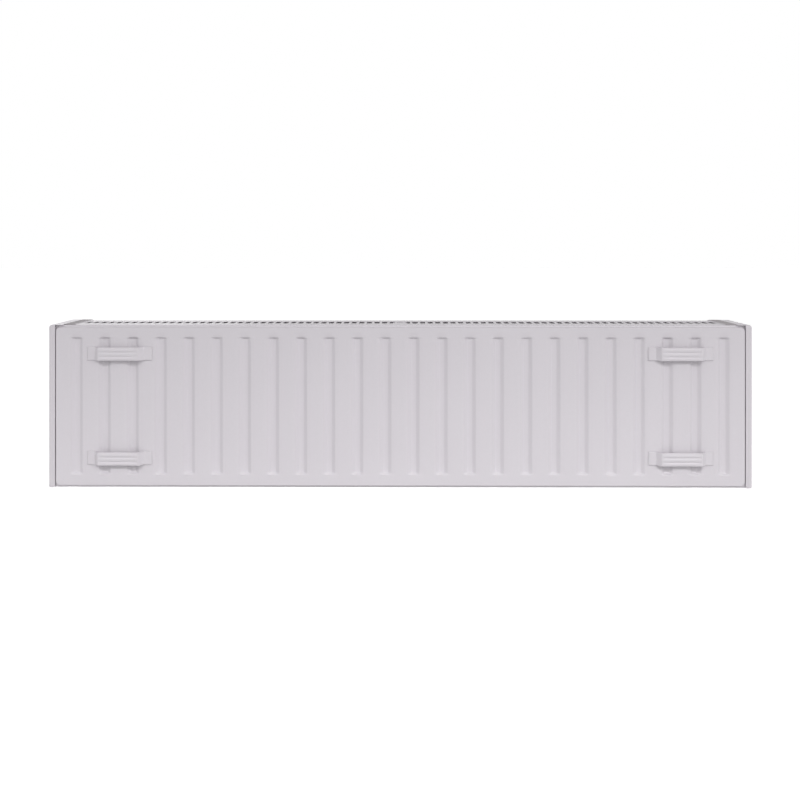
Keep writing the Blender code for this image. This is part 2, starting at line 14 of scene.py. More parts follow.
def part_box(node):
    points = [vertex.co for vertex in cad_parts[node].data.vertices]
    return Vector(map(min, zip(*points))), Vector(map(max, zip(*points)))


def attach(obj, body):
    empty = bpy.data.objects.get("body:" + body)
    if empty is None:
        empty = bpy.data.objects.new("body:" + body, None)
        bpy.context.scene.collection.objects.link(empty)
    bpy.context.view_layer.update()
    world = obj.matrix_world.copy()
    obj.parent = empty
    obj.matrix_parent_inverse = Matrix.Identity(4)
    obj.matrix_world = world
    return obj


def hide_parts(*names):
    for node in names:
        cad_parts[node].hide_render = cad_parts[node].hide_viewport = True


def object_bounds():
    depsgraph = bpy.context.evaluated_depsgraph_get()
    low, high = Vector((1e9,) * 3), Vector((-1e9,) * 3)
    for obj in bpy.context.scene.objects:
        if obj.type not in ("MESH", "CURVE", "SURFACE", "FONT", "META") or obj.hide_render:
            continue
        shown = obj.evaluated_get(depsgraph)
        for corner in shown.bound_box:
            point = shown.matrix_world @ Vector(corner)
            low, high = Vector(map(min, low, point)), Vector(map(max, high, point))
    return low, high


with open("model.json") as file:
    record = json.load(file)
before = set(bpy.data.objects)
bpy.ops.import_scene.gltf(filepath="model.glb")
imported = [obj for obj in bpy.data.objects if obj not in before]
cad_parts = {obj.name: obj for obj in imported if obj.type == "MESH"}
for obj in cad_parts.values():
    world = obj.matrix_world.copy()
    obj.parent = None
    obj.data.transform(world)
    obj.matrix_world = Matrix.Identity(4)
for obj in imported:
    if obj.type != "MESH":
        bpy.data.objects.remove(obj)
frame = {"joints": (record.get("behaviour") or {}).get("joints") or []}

CAD_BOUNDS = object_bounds()

# ---- Sizes read from the frame ----
LENGTH = CAD_BOUNDS[1].x - CAD_BOUNDS[0].x
REAR_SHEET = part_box("rear_panel_outer_sheet")
FRONT_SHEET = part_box("front_panel_outer_sheet")
PANEL_HEIGHT = REAR_SHEET[1].z
SEAM_X = REAR_SHEET[1].x
Y_MID = (REAR_SHEET[0].y + FRONT_SHEET[1].y) / 2
JOINTS = {joint["name"]: joint for joint in frame["joints"]}
VENT_AXIS = Vector(JOINTS["nozzle_turn"]["pos_m"])

# ---- Pressed panel sheets ----
SHEET = 0.0012
SHEET_EDGE_TRIM = 0.0003  # each side draws in this far at the cut edge
SHEET_EDGE_RUN = 0.0004  # width of the drawn-in border
PRESSING = REAR_SHEET[1].y - REAR_SHEET[0].y - SHEET
END_SEAM = 0.0083
LONG_SEAM = 0.0020
SHOULDER = 0.0024  # run of the rounded slope from the seam to the raised face
RAISED_CORNER = 0.009
FLUTE_COUNT = 24
FLUTE_PITCH = LENGTH / (FLUTE_COUNT + 1)
FLUTE_REACH = 0.0175  # half width, soft shoulders included
FLUTE_WALL = 0.0120  # where the steep walls begin, from the centre
FLUTE_FLOOR = 0.0032  # half width of the flat floor
FLUTE_SOFT_SHARE = 0.10  # part of the depth that the soft shoulders take
FLUTE_LOW, FLUTE_HIGH = 0.0232, 0.2790
FLUTE_END_RUN = 0.0050
FLUTE_PLAIN_FROM = 0.05  # level above which a flute's section no longer changes

# ---- Other sheet work ----
FIN_SHEET = 0.0007
FIN_FLAT_HALF = 0.010
FIN_BEND = 0.0025
FIN_EDGE = 0.0001
LUG_SHEET = 0.0018
LUG_BRIDGE_HALF = 0.037
LUG_LEG_RUN = 0.008
LUG_BEND = 0.0032
LUG_EDGE = 0.0005
LUG_RIDGE_FADE = 0.006  # run over which the ridges die out before the bridge's ends
LUG_MAX_SPAN = 0.006  # longest straight step along the strip
LUG_END_ROUND = 0.0026  # run over which each foot thins out to its end
LUG_END_SHEET = 0.0007
LUG_RIDGES = 3
LUG_GROOVE_DEPTH = 0.0012
LUG_GROOVE_DROP = 0.0014  # grooves lie this far below even thirds of the height
LUG_LIP_DEPTH = LUG_GROOVE_DEPTH * 0.6
LUG_TRIM_SHARE = 0.8  # share of a true quarter-round taken off each side of the edge
COVER_SHEET = 0.0010
COVER_LIP = 0.012
COVER_TOP_ROUND = 0.0055
COVER_FOLD_ROUND = 0.0032
COVER_LIP_CORNER = 0.003
COVER_HOLE_RADIUS = 0.018
COVER_HOLE_REACH = 0.004
COVER_EDGE = 0.00022
GRILLE_SHEET = 0.0010
GRILLE_EDGE = 0.00025
GRILLE_BEND = 0.003
SKIRT_HALF_LENGTH = 0.6
SKIRT_GAP = 0.0003  # between the clips' legs and the skirts
GRILLE_STEP_X = LENGTH / 2 - 0.045
GRILLE_STEP_RUN = 0.004
GRILLE_STEP_RISE = 0.0016
PAINTED_SHADE_TINT = (0.62, 0.61, 0.60)  # painted shade: greying of the raised ends, standing for the darkness they show
DULL_ENDS_ROUGHNESS = 0.45  # added on the raised ends, which are duller
SHADE_AND_DULL_FADE = 0.005
SLOT_COUNT = 83
SLOT_PITCH = 0.0145
SLOT_WIDTH = 0.0100
SLOT_LENGTH = 0.030
SLOT_CORNER = 0.0030
GRILLE_CLIP_BEND = 0.0016
TIE_WIDTH = 0.0024  # an end clip's strap where it passes between two slots
TIE_HALF_LENGTH = 0.028
TIE_SHIFT = 0.0017  # outwards from the middle of the bar
TIE_CORNER = 0.003
NOTCH_REACH = 0.03  # from the tie past the strap's end
CLIP_SHEET = 0.0008
CLIP_BEND = 0.0012
CLIP_TIP_TRIM = 0.0002

# ---- Fittings ----
SOCKET_RADIUS = 0.0095
TEE_RADIUS = 0.014
WATERWAY_RADIUS = 0.006
WELD_REACH = 0.0012
BEAD_STEPS = ((3.2, 0.0), (1.6, 0.3), (0.6, 1.0), (0.0, 1.0))  # (back, out) in weld reaches
BOSS_CHAMFER = 0.0008
SOCKET_TURNS = 9
SOCKET_THREAD_DEPTH = 0.0006
SOCKET_FLARE = 0.0013
THREAD_RADIUS = 0.0092
THREAD_PITCH = 0.0014
THREAD_DEPTH = 0.0008
HEX_HEAD = 0.0035  # thickness of a plug's head
HEX_CHAMFER = 0.0012
HEX_FLAT = 0.012
PLUG_STEP = 0.001  # a thread's lead-in, and the overlap where two shapes are joined
KEY_FLAT = 0.004
KEY_DEPTH = 0.007
VENT_BORE = 0.003
VENT_BORE_DEPTH = 0.03
VENT_SEAT = 0.0083
VENT_SEAT_DEPTH = 0.0015
SEAL_RIM = 0.0004  # how much of each outer edge is taken off
SEAL_GAP = 0.0006  # round the plug's thread
NOZZLE_BORE = 0.0042
SPOUT_HALF = 0.0018
SPOUT_ROUND = 0.0011
SPOUT_INSET = 0.0021  # from the side of the ring that faces the plug
SPOUT_ROOT = 0.006  # from the axis, inside the ring's wall
BLEED_SHANK = 0.0026
BLEED_POINT = 0.0025
BLEED_PITCH = 0.0008
BLEED_TURNS = 9
BLEED_KEY_HALF = 0.0025
BLEED_KEY_FROM = 0.011  # from the screw's point
HEX_CORNER = 1 / math.cos(math.pi / 6)
ROUND_SIDES = 56

# ---- Camera and light ----
WHITE = (1.0, 1.0, 1.0)
CAMERA_HEIGHT = 0.456
CAMERA_DISTANCE = 1.443  # from the wall-side face
LENS_MM = 35.16
SENSOR_MM = 36.0
SHIFT_Y = -0.1986
SHIFT_X = 0.00045
CAMERA_YAW_DEG = 0.3
SKY_ABOVE = 0.50
SKY_BELOW = 0.54
KEY_POWER = 1.9
KEY_SPREAD_DEG = 50
FILL_POWER = 3.7
FILL_SPREAD_DEG = 32
ROOM_SIDE_POWER = 12.0
FLOOR_GLOW = 0.45
FLOOR_GAP = 0.0005
FLOOR_HALF_SIZE = 12.0


# ---- Mesh helpers ----
def smooth_step(value):
    """0 below 0, 1 above 1, and an S-shaped rise between."""
    value = min(max(value, 0.0), 1.0)
    return value * value * (3 - 2 * value)


def piece(name, bm, material, body):
    """Turn a bmesh into a smooth-shaded piece that stands for the CAD node called name."""
    bmesh.ops.recalc_face_normals(bm, faces=bm.faces[:])
    mesh = bpy.data.meshes.new(name + "_shape")
    bm.to_mesh(mesh)
    bm.free()
    mesh.materials.append(material)
    mesh.shade_smooth()
    obj = bpy.data.objects.new(name + "_shape", mesh)
    bpy.context.scene.collection.objects.link(obj)
    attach(obj, body)
    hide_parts(name)
    return obj


def apply_boolean(bm, tool_bm, operation):
    """Boolean of two bmeshes, returned as a new bmesh; both inputs are used up."""
    objects = []
    for label, part in (("target", bm), ("tool", tool_bm)):
        bmesh.ops.recalc_face_normals(part, faces=part.faces[:])
        mesh = bpy.data.meshes.new(label)
        part.to_mesh(mesh)
        part.free()
        obj = bpy.data.objects.new(label, mesh)
        bpy.context.scene.collection.objects.link(obj)
        objects.append(obj)
    target, tool = objects
    modifier = target.modifiers.new("cut", "BOOLEAN")
    modifier.operation = operation
    modifier.object = tool
    modifier.solver = "EXACT"
    bpy.context.view_layer.update()
    evaluated = target.evaluated_get(bpy.context.evaluated_depsgraph_get())
    result = bmesh.new()
    result.from_mesh(evaluated.to_mesh())
    evaluated.to_mesh_clear()
    for obj in objects:
        mesh = obj.data
        bpy.data.objects.remove(obj)
        bpy.data.meshes.remove(mesh)
    return result


def soften(obj, width, segments=2, angle=35):
    """Round the sharp edges, and keep the faces beside them flat."""
    bevel = obj.modifiers.new("soft_edges", "BEVEL")
    bevel.width = width
    bevel.segments = segments
    bevel.limit_method = "ANGLE"
    bevel.angle_limit = math.radians(angle)
    bevel.harden_normals = True


def loft(bm, rings):
    """Join rings of equal point count into one closed body with flat end caps."""
    made = [[bm.verts.new(point) for point in ring] for ring in rings]
    for lower, upper in zip(made, made[1:]):
        for index in range(len(lower)):
            following = (index + 1) % len(lower)
            bm.faces.new((lower[index], lower[following], upper[following], upper[index]))
    bm.faces.new(made[0][::-1])
    bm.faces.new(made[-1])


def block(low, high):
    """Box between two corners, to cut with or to shape further."""
    bm = bmesh.new()
    size = Vector(high) - Vector(low)
    centre = (Vector(high) + Vector(low)) / 2
    placed = Matrix.Translation(centre) @ Matrix.Diagonal((*size, 1.0))
    bmesh.ops.create_cube(bm, size=1.0, matrix=placed)
    return bm


def bevel_where(bm, chosen, radius, segments):
    """Round the edges for which chosen(middle, direction) is true."""
    edges = []
    for edge in bm.edges:
        start, end = edge.verts[0].co, edge.verts[1].co
        if chosen((start + end) / 2, (end - start).normalized()):
            edges.append(edge)
    bmesh.ops.bevel(bm, geom=edges, offset=radius, segments=segments, profile=0.5,
                    affect="EDGES", clamp_overlap=True)


def turned(axis, centre, profile, sides=ROUND_SIDES, sign=1.0):
    """Revolve (along, radius) pairs about the X or Y axis through centre.

    A profile that ends where it begins makes a ring, and any other one a capped solid.
    """
    bm = bmesh.new()
    rings = []
    for along, radius in profile:
        ring = []
        for side in range(sides):
            angle = 2 * math.pi * side / sides
            across, up = radius * math.cos(angle), radius * math.sin(angle)
            offset = (sign * along, across, up) if axis == "X" else (across, sign * along, up)
            ring.append(Vector(centre) + Vector(offset))
        rings.append(ring)
    if profile[0] != profile[-1]:
        loft(bm, rings)
        return bm
    made = [[bm.verts.new(point) for point in ring] for ring in rings[:-1]]
    for index, ring in enumerate(made):
        following = made[(index + 1) % len(made)]
        for side in range(sides):
            beside = (side + 1) % sides
            bm.faces.new((ring[side], ring[beside], following[beside], following[side]))
    return bm


def rounded_path(points, radius, steps=5):
    """A 2-D path with each inner corner rounded to radius."""
    path = [Vector(points[0])]
    for before, corner, after in zip(points, points[1:], points[2:]):
        corner = Vector(corner)
        arriving = (corner - Vector(before)).normalized()
        leaving = (Vector(after) - corner).normalized()
        bend = arriving.angle(leaving)
        if bend < math.radians(1):
            path.append(corner)
            continue
        reach = radius * math.tan(bend / 2)
        start, end = corner - arriving * reach, corner + leaving * reach
        turn = 1 if arriving.cross(leaving) > 0 else -1
        centre = start + Vector((-arriving.y, arriving.x)) * radius * turn
        first = start - centre
        for step in range(steps + 1):
            angle = turn * bend * step / steps
            spun = Vector((first.x * math.cos(angle) - first.y * math.sin(angle),
                           first.x * math.sin(angle) + first.y * math.cos(angle)))
            path.append(centre + spun)
        path[-1] = end
    path.append(Vector(points[-1]))
    return path


def offset_path(path, distance):
    """The path moved sideways, to the left of its direction."""
    moved = []
    for index, point in enumerate(path):
        before = path[max(index - 1, 0)]
        after = path[min(index + 1, len(path) - 1)]
        direction = (after - before).normalized()
        moved.append(point + Vector((-direction.y, direction.x)) * distance)
    return moved


def strip(path, thickness):
    """Closed outline of a strip of even thickness along a 2-D path."""
    return offset_path(path, thickness / 2) + offset_path(path, -thickness / 2)[::-1]


def extruded(outline, place, low, high):
    """Extrude a 2-D outline; place(a, b, along) gives the 3-D point."""
    bm = bmesh.new()
    loft(bm, [[place(a, b, along) for a, b in outline] for along in (low, high)])
    return bm


# ---- Materials ----
def node_material(name):
    """A new material, its node tree and its shader."""
    material = bpy.data.materials.new(name)
    material.use_nodes = True
    tree = material.node_tree
    return material, tree, tree.nodes["Principled BSDF"]


def noise(tree, scale, detail=2.0, roughness=0.5):
    """Noise fixed to the object, with scale in waves per metre."""
    coordinates = tree.nodes.new("ShaderNodeTexCoord")
    texture = tree.nodes.new("ShaderNodeTexNoise")
    texture.inputs["Scale"].default_value = scale
    texture.inputs["Detail"].default_value = detail
    texture.inputs["Roughness"].default_value = roughness
    tree.links.new(coordinates.outputs["Object"], texture.inputs["Vector"])
    return texture.outputs["Fac"]


def ramp(tree, source, stops):
    """Colour ramp fed by source; stops are (position, colour) pairs."""
    node = tree.nodes.new("ShaderNodeValToRGB")
    tree.links.new(source, node.inputs["Fac"])
    elements = node.color_ramp.elements
    while len(elements) < len(stops):
        elements.new(0.5)
    for element, (position, colour) in zip(elements, stops):
        element.position = position
        element.color = (*colour, 1.0)
    return node.outputs["Color"]


def value_range(tree, source, low, high):
    """Spread the noise's middle range over low to high."""
    node = tree.nodes.new("ShaderNodeMapRange")
    tree.links.new(source, node.inputs["Value"])
    node.inputs["From Min"].default_value = 0.3
    node.inputs["From Max"].default_value = 0.7
    node.inputs["To Min"].default_value = low
    node.inputs["To Max"].default_value = high
    return node.outputs["Result"]


def multiply(tree, first, second):
    """Product of two colours."""
    node = tree.nodes.new("ShaderNodeMix")
    node.data_type = "RGBA"
    node.blend_type = "MULTIPLY"
    node.inputs["Factor"].default_value = 1.0
    tree.links.new(first, node.inputs["A"])
    tree.links.new(second, node.inputs["B"])
    return node.outputs["Result"]


def add_bump(tree, shader, layers):
    """Stack bumps; layers are (source, distance in metres, strength)."""
    normal = None
    for source, distance, strength in layers:
        node = tree.nodes.new("ShaderNodeBump")
        node.inputs["Distance"].default_value = distance
        node.inputs["Strength"].default_value = strength
        tree.links.new(source, node.inputs["Height"])
        if normal:
            tree.links.new(normal, node.inputs["Normal"])
        normal = node.outputs["Normal"]
    tree.links.new(normal, shader.inputs["Normal"])


def edge_mask(tree):
    """Slightly dark on worn convex edges, and white elsewhere."""
    geometry = tree.nodes.new("ShaderNodeNewGeometry")
    return ramp(tree, geometry.outputs["Pointiness"],
                [(0.50, WHITE), (0.56, (0.955, 0.95, 0.95)), (0.66, (0.90, 0.89, 0.885))])


def shaded_and_dull_ends(tree, begins):
    """0 along the middle of a long piece, and 1 on its two ends past begins; it masks painted shade and
    a duller gloss.
    """
    coordinates = tree.nodes.new("ShaderNodeTexCoord")
    split = tree.nodes.new("ShaderNodeSeparateXYZ")
    tree.links.new(coordinates.outputs["Object"], split.inputs["Vector"])
    distance = tree.nodes.new("ShaderNodeMath")
    distance.operation = "ABSOLUTE"
    tree.links.new(split.outputs["X"], distance.inputs[0])
    reach = tree.nodes.new("ShaderNodeMapRange")
    tree.links.new(distance.outputs["Value"], reach.inputs["Value"])
    reach.inputs["From Min"].default_value = begins
    reach.inputs["From Max"].default_value = begins + SHADE_AND_DULL_FADE
    return reach.outputs["Result"]


def enamel(name="enamel_satin", shaded_and_dulled_from=None):
    """Satin baked enamel: faint clouding, orange peel and thinner paint on the edges.

    Past the given X at each end it is greyer, a painted shade, and rougher.
    """
    material, tree, shader = node_material(name)
    cloud = ramp(tree, noise(tree, 3.5, 3.0),
                 [(0.30, (0.612, 0.582, 0.618)), (0.70, (0.632, 0.602, 0.638))])
    speckle = ramp(tree, noise(tree, 260.0, 4.0, 0.65),
                   [(0.30, (0.985, 0.985, 0.985)), (0.62, WHITE)])
    colour = multiply(tree, multiply(tree, cloud, speckle), edge_mask(tree))
    roughness = value_range(tree, noise(tree, 28.0, 3.0), 0.36, 0.46)
    if shaded_and_dulled_from:
        shade_and_dull_mask = shaded_and_dull_ends(tree, shaded_and_dulled_from)
        # painted shade: the raised ends' colour is greyed to stand for the darkness they show
        colour = multiply(tree, colour, ramp(tree, shade_and_dull_mask, [(0.0, WHITE), (1.0, PAINTED_SHADE_TINT)]))
        dulled = tree.nodes.new("ShaderNodeMath")
        dulled.operation = "MULTIPLY_ADD"
        tree.links.new(shade_and_dull_mask, dulled.inputs[0])
        dulled.inputs[1].default_value = DULL_ENDS_ROUGHNESS
        tree.links.new(roughness, dulled.inputs[2])
        roughness = dulled.outputs["Value"]
    tree.links.new(colour, shader.inputs["Base Color"])
    tree.links.new(roughness, shader.inputs["Roughness"])
    shader.inputs["Specular IOR Level"].default_value = 0.42
    add_bump(tree, shader, [
        (noise(tree, 420.0, 1.5), 0.00012, 0.35),
        (noise(tree, 7.0, 1.0), 0.0012, 0.10),
    ])
    return material


def nickel():
    """Dulled nickel plate on brass: turning marks, tarnish clouds and brassy edges."""
    material, tree, shader = node_material("nickel_dull")
    tarnish = ramp(tree, noise(tree, 160.0, 4.0),
                   [(0.35, (0.60, 0.57, 0.52)), (0.65, (0.74, 0.72, 0.68))])
    tree.links.new(multiply(tree, tarnish, edge_mask(tree)), shader.inputs["Base Color"])
    shader.inputs["Metallic"].default_value = 1.0
    polish = value_range(tree, noise(tree, 700.0, 3.0), 0.20, 0.38)
    tree.links.new(polish, shader.inputs["Roughness"])
    add_bump(tree, shader, [(noise(tree, 1600.0, 2.0), 0.00002, 0.4)])
    return material


def spring_steel():
    """Rolled spring strip: grain along the strip and slight bluing."""
    material, tree, shader = node_material("spring_strip")
    grain = noise(tree, 900.0, 2.0)
    tint = ramp(tree, noise(tree, 60.0, 3.0),
                [(0.35, (0.47, 0.49, 0.53)), (0.65, (0.60, 0.61, 0.62))])
    tree.links.new(tint, shader.inputs["Base Color"])
    shader.inputs["Metallic"].default_value = 1.0
    tree.links.new(value_range(tree, grain, 0.28, 0.42), shader.inputs["Roughness"])
    add_bump(tree, shader, [(grain, 0.00003, 0.5)])
    return material


def rubber():
    """Matt black sealing rubber with a dusty bloom."""
    material, tree, shader = node_material("rubber_black")
    bloom = ramp(tree, noise(tree, 300.0, 4.0),
                 [(0.40, (0.022, 0.022, 0.024)), (0.75, (0.060, 0.058, 0.056))])
    tree.links.new(bloom, shader.inputs["Base Color"])
    tree.links.new(value_range(tree, noise(tree, 500.0), 0.65, 0.85), shader.inputs["Roughness"])
    add_bump(tree, shader, [(noise(tree, 1200.0, 3.0), 0.00004, 0.5)])
    return material


def plastic():
    """Moulded white plastic with a fine spark-eroded texture."""
    material, tree, shader = node_material("plastic_white")
    tone = ramp(tree, noise(tree, 90.0, 3.0),
                [(0.35, (0.77, 0.76, 0.74)), (0.65, (0.82, 0.81, 0.79))])
    tree.links.new(multiply(tree, tone, edge_mask(tree)), shader.inputs["Base Color"])
    tree.links.new(value_range(tree, noise(tree, 800.0), 0.40, 0.55), shader.inputs["Roughness"])
    add_bump(tree, shader, [(noise(tree, 2200.0, 2.0), 0.00003, 0.6)])
    return material


# ---- Pressed panel sheets ----
def flute_centres():
    """X of each flute, evenly spread about the middle."""
    first = -FLUTE_PITCH * (FLUTE_COUNT - 1) / 2
    return [first + FLUTE_PITCH * index for index in range(FLUTE_COUNT)]


def pressed_depth(x, z):
    """Depth of the pressed face behind its raised plane."""
    mid_z = PANEL_HEIGHT / 2
    beyond_x = abs(x) - (SEAM_X - END_SEAM - RAISED_CORNER)
    beyond_z = abs(z - mid_z) - (mid_z - LONG_SEAM - RAISED_CORNER)
    outside = math.hypot(max(beyond_x, 0.0), max(beyond_z, 0.0))
    outside += min(max(beyond_x, beyond_z), 0.0)
    border = smooth_step((outside - RAISED_CORNER + SHOULDER) / SHOULDER)
    half_row = FLUTE_PITCH * FLUTE_COUNT / 2
    if abs(x) >= half_row:
        return PRESSING * border
    off_centre = abs((x + half_row) % FLUTE_PITCH - FLUTE_PITCH / 2)
    soft = smooth_step((FLUTE_REACH - off_centre) / (FLUTE_REACH - FLUTE_WALL))
    steep = smooth_step((FLUTE_WALL - off_centre) / (FLUTE_WALL - FLUTE_FLOOR))
    across = FLUTE_SOFT_SHARE * soft + (1 - FLUTE_SOFT_SHARE) * steep
    ends = smooth_step((z - FLUTE_LOW) / FLUTE_END_RUN)
    ends *= smooth_step((FLUTE_HIGH - z) / FLUTE_END_RUN)
    return PRESSING * max(border, across * ends)


def spread(low, high, count):
    """Count even steps from low to high, both ends included."""
    return [low + (high - low) * index / count for index in range(count + 1)]


def merged(values, nearest=0.0002):
    """The values in order, without those closer than nearest to the one before."""
    kept = []
    for value in sorted(values):
        if not kept or value - kept[-1] > nearest:
            kept.append(value)
    return kept


def sheet_lines(fine):
    """Grid lines across and up a pressed sheet, close together where it bends."""
    walls, ends, corner = (8, 6, 7) if fine else (3, 3, 3)
    offsets = spread(0.0, FLUTE_FLOOR, 1) + spread(FLUTE_FLOOR, FLUTE_WALL, walls)
    offsets += spread(FLUTE_WALL, FLUTE_REACH, 4 if fine else 1)
    raised_x = SEAM_X - END_SEAM
    half_lines = spread(raised_x - RAISED_CORNER, raised_x - SHOULDER, corner)
    half_lines += spread(raised_x - SHOULDER, raised_x, ends)
    half_lines += [raised_x + END_SEAM * 0.4, SEAM_X - SHEET_EDGE_RUN, SEAM_X]
    across = [sign * value for sign in (-1, 1) for value in half_lines]
    for centre in flute_centres():
        across += [centre + sign * offset for sign in (-1, 1) for offset in offsets]
    mid_z = PANEL_HEIGHT / 2
    upward = [0.0, SHEET_EDGE_RUN] + spread(LONG_SEAM, LONG_SEAM + SHOULDER, ends)
    upward += spread(LONG_SEAM + SHOULDER, LONG_SEAM + RAISED_CORNER, corner)
    upward += spread(FLUTE_LOW, FLUTE_LOW + FLUTE_END_RUN, ends + 2)
    flute_top = PANEL_HEIGHT - FLUTE_HIGH
    upward += spread(flute_top, flute_top + FLUTE_END_RUN, ends + 2)
    upward += spread(FLUTE_PLAIN_FROM, mid_z, 3)
    return merged(across), merged(upward + [PANEL_HEIGHT - value for value in upward])


def pressed_sheet(name, face_y, inward, fine, material):
    """A pressed sheet as two grids, face and back, closed along its border."""
    across, upward = sheet_lines(fine)
    bm = bmesh.new()
    grids = []
    for behind in (0.0, SHEET):
        grid = []
        for z in upward:
            row = []
            for x in across:
                depth = pressed_depth(x, z)
                on_border = x in (across[0], across[-1]) or z in (upward[0], upward[-1])
                if on_border:
                    depth += SHEET_EDGE_TRIM if behind == 0.0 else -SHEET_EDGE_TRIM
                row.append(bm.verts.new((x, face_y + inward * (depth + behind), z)))
            grid.append(row)
        grids.append(grid)
    for grid in grids:
        for low_row, high_row in zip(grid, grid[1:]):
            for index in range(len(across) - 1):
                following = index + 1
                bm.faces.new((low_row[index], low_row[following], high_row[following], high_row[index]))
    face, back = grids
    borders = [(face[0], back[0]), (face[-1], back[-1])]
    borders += [([row[end] for row in face], [row[end] for row in back]) for end in (0, -1)]
    for front_line, back_line in borders:
        for index in range(len(front_line) - 1):
            following = index + 1
            bm.faces.new((front_line[index], front_line[following],
                          back_line[following], back_line[index]))
    piece(name, bm, material, "radiator")


def panels(paint):
    """Two panels of two sheets each; every raised face looks away from its panel's middle."""
    for end in ("rear", "front"):
        for layer in ("outer", "inner"):
            name = f"{end}_panel_{layer}_sheet"
            low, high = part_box(name)
            faces_room = (end == "front") == (layer == "outer")
            face_y, inward = (high.y, -1) if faces_room else (low.y, 1)
            pressed_sheet(name, face_y, inward, layer == "outer", paint)


# ---- Convector sheets ----
def convector(name, towards_tip, material):
    """Corrugated sheet, welded on at its roots and open between its tips."""
    low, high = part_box(name)
    root, tip = (low.y, high.y) if towards_tip > 0 else (high.y, low.y)
    root += towards_tip * FIN_SHEET / 2
    tip -= towards_tip * FIN_SHEET / 2
    path = []
    flats = FLUTE_COUNT - 1
    for step in range(2 * flats - 1):
        centre = (step - flats + 1) * FLUTE_PITCH / 2
        y = tip if step % 2 else root
        path += [(centre - FIN_FLAT_HALF, y), (centre + FIN_FLAT_HALF, y)]
    outline = strip(rounded_path(path, FIN_BEND), FIN_SHEET)
    bm = extruded(outline, lambda x, y, z: (x, y, z), low.z, high.z)
    soften(piece(name, bm, material, "radiator"), FIN_EDGE, segments=1)


# ---- Connection tees ----
def connection_tee(name, side, material):
    """Cross tube with weld beads at both panels, and a threaded boss towards the end."""
    low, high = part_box(name)
    tube_x = low.x + TEE_RADIUS if side > 0 else high.x - TEE_RADIUS
    centre = Vector((tube_x, Y_MID, (low.z + high.z) / 2))
    weld_gap = 0.0002
    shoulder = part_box("front_panel_inner_sheet")[0].y - Y_MID - weld_gap
    half_profile = [(shoulder - back * WELD_REACH, TEE_RADIUS + rise * WELD_REACH)
                    for back, rise in BEAD_STEPS]
    profile = [(-along, radius) for along, radius in half_profile[::-1]] + half_profile
    bm = turned("Y", centre, profile)
    boss_end = abs(high.x if side > 0 else low.x) - abs(centre.x)
    boss = turned("X", centre, [(0.0, TEE_RADIUS), (boss_end - BOSS_CHAMFER, TEE_RADIUS),
                                (boss_end, TEE_RADIUS - BOSS_CHAMFER)], sign=side)
    bm = apply_boolean(bm, boss, "UNION")
    bore = [(-shoulder * 2, WATERWAY_RADIUS), (shoulder * 2, WATERWAY_RADIUS)]
    bm = apply_boolean(bm, turned("Y", centre, bore, sides=32), "DIFFERENCE")
    thread = [(0.0, SOCKET_RADIUS)]
    lead_in, plain_end = 0.0006, 0.002
    pitch = (boss_end - plain_end) / SOCKET_TURNS
    for turn in range(SOCKET_TURNS):
        start = lead_in + turn * pitch
        thread += [(start, SOCKET_RADIUS), (start + pitch / 2, SOCKET_RADIUS + SOCKET_THREAD_DEPTH)]
    thread += [(boss_end - plain_end / 2, SOCKET_RADIUS + 0.0002),
               (boss_end + 0.0002, SOCKET_RADIUS + SOCKET_FLARE),
               (boss_end * 2, SOCKET_RADIUS + SOCKET_FLARE)]
    bm = apply_boolean(bm, turned("X", centre, thread, sign=side), "DIFFERENCE")
    soften(piece(name, bm, material, "radiator"), width=0.0004)


# ---- Hanger lugs ----
def hanger_lug(name, material):
    """Pressed bridge on two feet, with three soft level ridges along the bridge."""
    low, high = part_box(name)
    centre_x = (low.x + high.x) / 2
    half = (high.x - low.x) / 2
    foot_y = high.y - LUG_SHEET / 2
    bridge_y = low.y + LUG_SHEET / 2
    right = [(LUG_BRIDGE_HALF, bridge_y), (LUG_BRIDGE_HALF + LUG_LEG_RUN, foot_y)]
    right += [(along, foot_y) for along in spread(half - LUG_END_ROUND, half, 4)]
    path = rounded_path([(-along, y) for along, y in right[::-1]] + right, LUG_BEND, 6)
    straight = [path[0]]
    for before, after in zip(path, path[1:]):
        pieces = max(1, int((after - before).length / LUG_MAX_SPAN))
        straight += [before.lerp(after, step / pieces) for step in range(1, pieces + 1)]
    height = high.z - low.z
    rise = height / LUG_RIDGES
    levels = spread(0.0, height, LUG_RIDGES * 10)
    for inset in (LUG_EDGE * 0.3, LUG_EDGE):
        levels += [inset, height - inset]
    bm = bmesh.new()
    rings = []
    for level in merged(levels, 0.0001):
        from_edge = min(level, height - level)
        swing = math.cos(2 * math.pi * (level + LUG_GROOVE_DROP) / rise)
        ridge = LUG_GROOVE_DEPTH * (0.5 + 0.5 * swing) ** 2
        ridge *= smooth_step(from_edge / (rise * 0.4))
        lip = LUG_LIP_DEPTH * (1 - smooth_step(from_edge / (rise * 0.35)))
        trim = LUG_EDGE * (1 - math.sqrt(1 - (1 - min(from_edge / LUG_EDGE, 1.0)) ** 2))
        thickness = LUG_SHEET - 2 * trim * LUG_TRIM_SHARE
        sides = []
        for sign in (1, -1):
            line = []
            for point in offset_path(straight, sign * thickness / 2):
                from_bend = LUG_BRIDGE_HALF - 0.001 - abs(point.x)
                weight = smooth_step(from_bend / LUG_RIDGE_FADE)
                thinned = smooth_step((abs(point.x) - half + LUG_END_ROUND) / LUG_END_ROUND)
                sunk = (thickness - LUG_END_SHEET) * thinned if sign < 0 else 0.0
                line.append((centre_x + point.x, point.y + (ridge + lip) * weight + sunk, low.z + level))
            sides.append(line)
        rings.append(sides[0] + sides[1][::-1])
    loft(bm, rings)
    piece(name, bm, material, "radiator")


